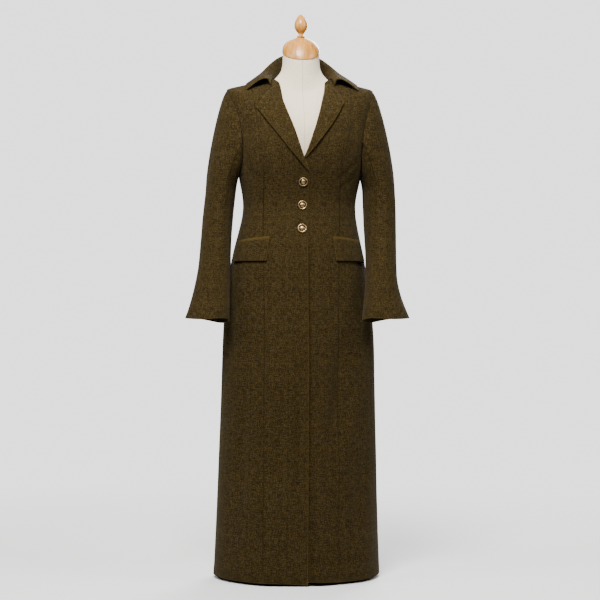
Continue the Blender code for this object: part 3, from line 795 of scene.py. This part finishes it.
for side in ("right", "left"):
    levels, middles = sleeve_line(side)
    for part in ("top", "under"):
        node = f"sleeve_{part}_{side}"
        cloth[node] = soft_copy(node, node + "_cloth", CLOTH_LEVELS, EDGE_ROUND, SLEEVE_GROW)
        press_sleeve(cloth[node], side, levels, middles)
print("sleeves made in", sum(n.startswith("sleeve") for n in cloth), "pieces")

# %% [markdown]
# ## The form
# The dress form under the coat is a padded shell in cream jersey, seamed down the front. Above it sit a
# turned neck cap and a finial of pale beech, and below it a steel pole and a round base. All of these are
# smoothed copies of their solids, so that only the materials are new.

# %% Form materials
KNIT_SEAM = 0.0009
KNIT_ROWS = 4200.0
KNIT_ROW_HEIGHT = 0.2
KNIT_SCALE = 420.0
KNIT_TONES = ((0.35, (0.50, 0.42, 0.29)), (0.65, (0.58, 0.50, 0.37)))
KNIT_SEAM_TONE = (0.34, 0.28, 0.19, 1.0)
KNIT_SEAM_SHARE = 0.6
knit, start, end = new_group(
    "jersey_knit",
    [("Place", "NodeSocketVector")],
    [("Color", "NodeSocketColor"), ("Height", "NodeSocketFloat")],
)
split = knit.nodes.new("ShaderNodeSeparateXYZ")
knit.links.new(start.outputs["Place"], split.inputs[0])
seam = calc(knit, "LESS_THAN", calc(knit, "ABSOLUTE", split.outputs[0]), KNIT_SEAM)
rows = calc(knit, "SINE", calc(knit, "MULTIPLY", split.outputs[2], KNIT_ROWS))
soft = noise(knit, start.outputs["Place"], KNIT_SCALE)
tone = ramp(knit, soft, KNIT_TONES)
sewn_tone = blend(knit, calc(knit, "MULTIPLY", seam, KNIT_SEAM_SHARE), tone, KNIT_SEAM_TONE)
knit.links.new(sewn_tone, end.inputs["Color"])
ribs = calc(knit, "MULTIPLY", rows, KNIT_ROW_HEIGHT)
knit.links.new(calc(knit, "SUBTRACT", ribs, seam), end.inputs["Height"])

BEECH_TONES = (
    (0.30, (0.25, 0.094, 0.008)),
    (0.50, (0.36, 0.148, 0.015)),
    (0.70, (0.44, 0.190, 0.025)),
)
GRAIN_STRETCH = (240.0, 60.0, 22.0)
BEND_SCALE = 9.0
BEND = 6.0
PORE_SCALE = 6.0
PORE_FROM = 0.62
PORE_SHARE = 0.35
PORE_TONE = (0.30, 0.09, 0.014, 1.0)
grain, start, end = new_group(
    "beech_grain",
    [("Place", "NodeSocketVector")],
    [("Color", "NodeSocketColor"), ("Height", "NodeSocketFloat")],
)
split = grain.nodes.new("ShaderNodeSeparateXYZ")
grain.links.new(start.outputs["Place"], split.inputs[0])
bent = calc(grain, "MULTIPLY", noise(grain, start.outputs["Place"], BEND_SCALE), BEND)
stretched = vector(
    grain,
    calc(grain, "ADD", calc(grain, "MULTIPLY", split.outputs[0], GRAIN_STRETCH[0]), bent),
    calc(grain, "MULTIPLY", split.outputs[1], GRAIN_STRETCH[1]),
    calc(grain, "MULTIPLY", split.outputs[2], GRAIN_STRETCH[2]),
)
lines = noise(grain, stretched, 1.0, 3.0)
pores = noise(grain, stretched, PORE_SCALE, 1.0)
wood = ramp(grain, lines, BEECH_TONES)
flecks = calc(grain, "MULTIPLY", calc(grain, "GREATER_THAN", pores, PORE_FROM), PORE_SHARE)
grain.links.new(blend(grain, flecks, wood, PORE_TONE), end.inputs["Color"])
grain.links.new(lines, end.inputs["Height"])


def place_material(name, group, roughness, strength, distance):
    material, tree, shader = new_material(name, roughness)
    place = tree.nodes.new("ShaderNodeTexCoord")
    made = tree.nodes.new("ShaderNodeGroup")
    made.node_tree = group
    tree.links.new(place.outputs["Object"], made.inputs["Place"])
    tree.links.new(made.outputs["Color"], shader.inputs["Base Color"])
    bump(tree, shader, made.outputs["Height"], strength, distance)
    return material, shader


jersey, jersey_shader = place_material("cream_jersey", knit, roughness=0.9, strength=0.35, distance=0.0005)
jersey_shader.inputs["Sheen Weight"].default_value = 0.15
beech, beech_shader = place_material("turned_beech", grain, roughness=0.42, strength=0.12, distance=0.0004)
beech_shader.inputs["Coat Weight"].default_value = 0.10

steel, tree, shader = new_material("satin_steel", 0.34)
shader.inputs["Metallic"].default_value = 1.0
shader.inputs["Base Color"].default_value = (0.55, 0.55, 0.54, 1.0)

# %% [markdown]
# The pieces of the form go through the same smoothing helper as the cloth. Turned and welded metal has tight
# edges, so the pole and base take one level of smoothing, and the padded and turned pieces take two.

# %% Form pieces
FORM_ROUND = 0.0006
# node, material, slot name, smoothing levels
FORM = (
    ("form_torso", jersey, "jersey", 2),
    ("neck_cap", beech, "beech", 2),
    ("finial", beech, "beech", 2),
    ("pole", steel, "steel", 1),
    ("base", steel, "steel", 1),
)
for node, material, slot, levels in FORM:
    piece = soft_copy(node, node + "_finished", levels, FORM_ROUND, cloth_piece=False)
    piece.data.materials.append(material)
print("form made in", len(FORM), "pieces")

# %% [markdown]
# ## Brass and thread
# Old brass is bright where it is rubbed and dark where it isn't. An attribute on the button's points says how
# deep in a groove each one lies, and the material mixes towards a dark tone by it: partly tarnish, partly
# painted shade in the grooves and under the rim.

# %% Brass and thread
TARNISH_SCALE = 700.0
BRASS_TONES = ((0.35, (0.20, 0.125, 0.055)), (0.65, (0.38, 0.26, 0.130)))
TARNISH_AND_SHADE_TONE = (0.020, 0.010, 0.003, 1.0)
brass, tree, shader = new_material("antique_brass", 0.40)
shader.inputs["Metallic"].default_value = 1.0
recess = tree.nodes.new("ShaderNodeAttribute")
recess.attribute_name = "recess"
place = tree.nodes.new("ShaderNodeTexCoord")
tarnish = noise(tree, place.outputs["Object"], TARNISH_SCALE)
metal = ramp(tree, tarnish, BRASS_TONES)
# Grooves and the button's foot go dark towards one tone: partly tarnish, partly painted shade.
dark_metal = blend(tree, recess.outputs["Fac"], metal, TARNISH_AND_SHADE_TONE)
tree.links.new(dark_metal, shader.inputs["Base Color"])
bump(tree, shader, tarnish, 0.15, 0.0003)

thread, tree, shader = new_material("buttonhole_thread", 0.8)
shader.inputs["Base Color"].default_value = (0.010, 0.006, 0.002, 1.0)

# %% [markdown]
# ## Buttons
# Each button is cast brass with a plain dome, a groove and a milled rim. It starts as a flat disc, and its
# face is extruded and scaled ring by ring, the way a lathe would step over it. Its place and tilt are
# read from the solid.

# %% Buttons
# share of the radius, share of the height, how dark the recess is (tarnish and painted shade)
BUTTON_RINGS = (
    (1.00, 0.10, 0.3),
    (1.00, 0.48, 0.1),
    (0.95, 0.68, 0.0),
    (0.84, 0.72, 0.0),
    (0.77, 0.58, 0.6),
    (0.69, 0.44, 1.0),
    (0.57, 0.44, 1.0),
    (0.49, 0.60, 0.5),
    (0.41, 0.82, 0.0),
    (0.26, 0.95, 0.0),
    (0.10, 1.00, 0.0),
)
RIM_TEETH = 36
BUTTON_FOOT = 0.97
TEETH_FROM = 0.82
TEETH_ABOVE = 0.64
TOOTH_DEEP = 0.035


def solid_frame(node):
    points = np.array([corner.co for corner in nodes[node].data.vertices])
    middle = (points.min(axis=0) + points.max(axis=0)) / 2
    axis = np.linalg.svd(points - points.mean(axis=0), full_matrices=False)[2][2]
    axis = axis if axis[1] < 0 else -axis
    depth = (points - middle) @ axis
    flat = points - middle - depth[:, None] * axis
    return middle, axis, np.linalg.norm(flat, axis=1).max(), depth.min(), depth.max()


for node in ("button_1", "button_2", "button_3"):
    middle, axis, radius, low, high = solid_frame(node)
    tall = high - low
    bpy.ops.mesh.primitive_circle_add(vertices=2 * RIM_TEETH, radius=radius * BUTTON_FOOT, fill_type="NGON")
    button = bpy.context.object
    button.name = node + "_brass"
    bpy.ops.object.mode_set(mode="EDIT")
    last = (BUTTON_FOOT, 0.0)
    for share, rise, _ in BUTTON_RINGS:
        up = (rise - last[1]) * tall
        bpy.ops.mesh.extrude_region_move(TRANSFORM_OT_translate={"value": (0.0, 0.0, up)})
        bpy.ops.transform.resize(value=(share / last[0], share / last[0], 1.0))
        last = (share, rise)
    bpy.ops.mesh.normals_make_consistent(inside=False)
    bpy.ops.object.mode_set(mode="OBJECT")
    bpy.ops.object.shade_smooth()
    points = points_of(button)
    share = np.hypot(points[:, 0], points[:, 1]) / radius
    round_it = np.arctan2(points[:, 1], points[:, 0])
    shares, rises, darks = np.array(BUTTON_RINGS).T
    nearest = np.abs(points[:, 2:] / tall - rises) + np.abs(share[:, None] - shares)
    layer = button.data.attributes.new("recess", "FLOAT", "POINT")
    layer.data.foreach_set("value", darks[nearest.argmin(axis=1)])
    rim = (share > TEETH_FROM) & (points[:, 2] > TEETH_ABOVE * tall)
    points[rim, 2] += TOOTH_DEEP * tall * np.cos(RIM_TEETH * round_it[rim])
    level = np.cross([0.0, 0.0, 1.0], axis)
    level /= np.linalg.norm(level)
    turned = np.stack([level, np.cross(axis, level), axis])
    move_points(button, middle + low * axis + points @ turned)
    button.data.materials.append(brass)
    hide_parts(node)
    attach(button, "root")
    bpy.ops.object.select_all(action="DESELECT")
print("three buttons of", round(2000 * radius, 1), "mm")

# %% [markdown]
# ## Buttonholes
# A stitched buttonhole runs from under each button, away from the front edge. A torus is drawn out to a long
# loop, and every point of it is dropped straight onto the front panel with a ray, so that the cord follows
# the cloth.

# %% Buttonholes
HOLE_LONG = 0.0190
HOLE_WIDE = 0.0034
HOLE_CORD = 0.0007
HOLE_RAISED = 0.4
HOLE_FLAT = 0.6
front = cloth["front_right"]
for number in (1, 2, 3):
    middle = solid_frame(f"button_{number}")[0]
    bpy.ops.mesh.primitive_torus_add(
        major_radius=HOLE_WIDE / 2, minor_radius=HOLE_CORD, major_segments=40, minor_segments=8
    )
    hole = bpy.context.object
    hole.name = f"buttonhole_{number}"
    bpy.ops.object.shade_smooth()
    points = points_of(hole)
    points[:, 0] += np.where(points[:, 0] < 0, -(HOLE_LONG - HOLE_WIDE), 0.0)
    laid = []
    for x, y, z in points:
        spot = front.ray_cast((middle[0] + x, -1.0, middle[2] + y), (0.0, 1.0, 0.0))[1]
        laid.append((spot[0], spot[1] - HOLE_RAISED * HOLE_CORD - z * HOLE_FLAT, spot[2]))
    move_points(hole, np.array(laid))
    hole.data.materials.append(thread)
    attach(hole, "root")
    bpy.ops.object.select_all(action="DESELECT")
print("three buttonholes of", HOLE_LONG * 1000, "mm")

# %% [markdown]
# ## The cloth's cut sizes
# Each piece's flat cut is listed, and its shell's area is printed beside it. The jets are too narrow to be
# sheets of their own and go with the flaps.

# %% Cloth sizes
# node, width, length, area, held, rests on
CUTS = (
    ("front_right", 0.158, 1.331, 0.1450, "draped", "form_torso_finished"),
    ("front_left", 0.164, 1.329, 0.1425, "draped", "form_torso_finished"),
    ("side_front_right", 0.251, 1.298, 0.1870, "draped", "form_torso_finished"),
    ("side_front_left", 0.252, 1.299, 0.1875, "draped", "form_torso_finished"),
    ("back_right", 0.371, 1.326, 0.3240, "draped", "form_torso_finished"),
    ("back_left", 0.371, 1.326, 0.3240, "draped", "form_torso_finished"),
    ("sleeve_top_right", 0.235, 0.620, 0.1080, "hung", "front_right_cloth"),
    ("sleeve_top_left", 0.235, 0.624, 0.1085, "hung", "front_left_cloth"),
    ("sleeve_under_right", 0.165, 0.482, 0.0515, "hung", "back_right_cloth"),
    ("sleeve_under_left", 0.158, 0.484, 0.0518, "hung", "back_left_cloth"),
    ("lapel_right", 0.076, 0.258, 0.0106, "folded", "front_right_cloth"),
    ("lapel_left", 0.060, 0.230, 0.0078, "folded", "front_left_cloth"),
    ("collar", 0.164, 0.505, 0.0471, "folded", "form_torso_finished"),
    ("pocket_flap_right", 0.058, 0.118, 0.0057, "laid", "side_front_right_cloth"),
    ("pocket_flap_left", 0.058, 0.118, 0.0057, "laid", "side_front_left_cloth"),
)
for node, width, length, area, held, under in CUTS:
    shell = sum(face.area for face in cloth[node].data.polygons) / 2
    print(node, "cut", area, "m2, shell", round(shell, 4), "m2")
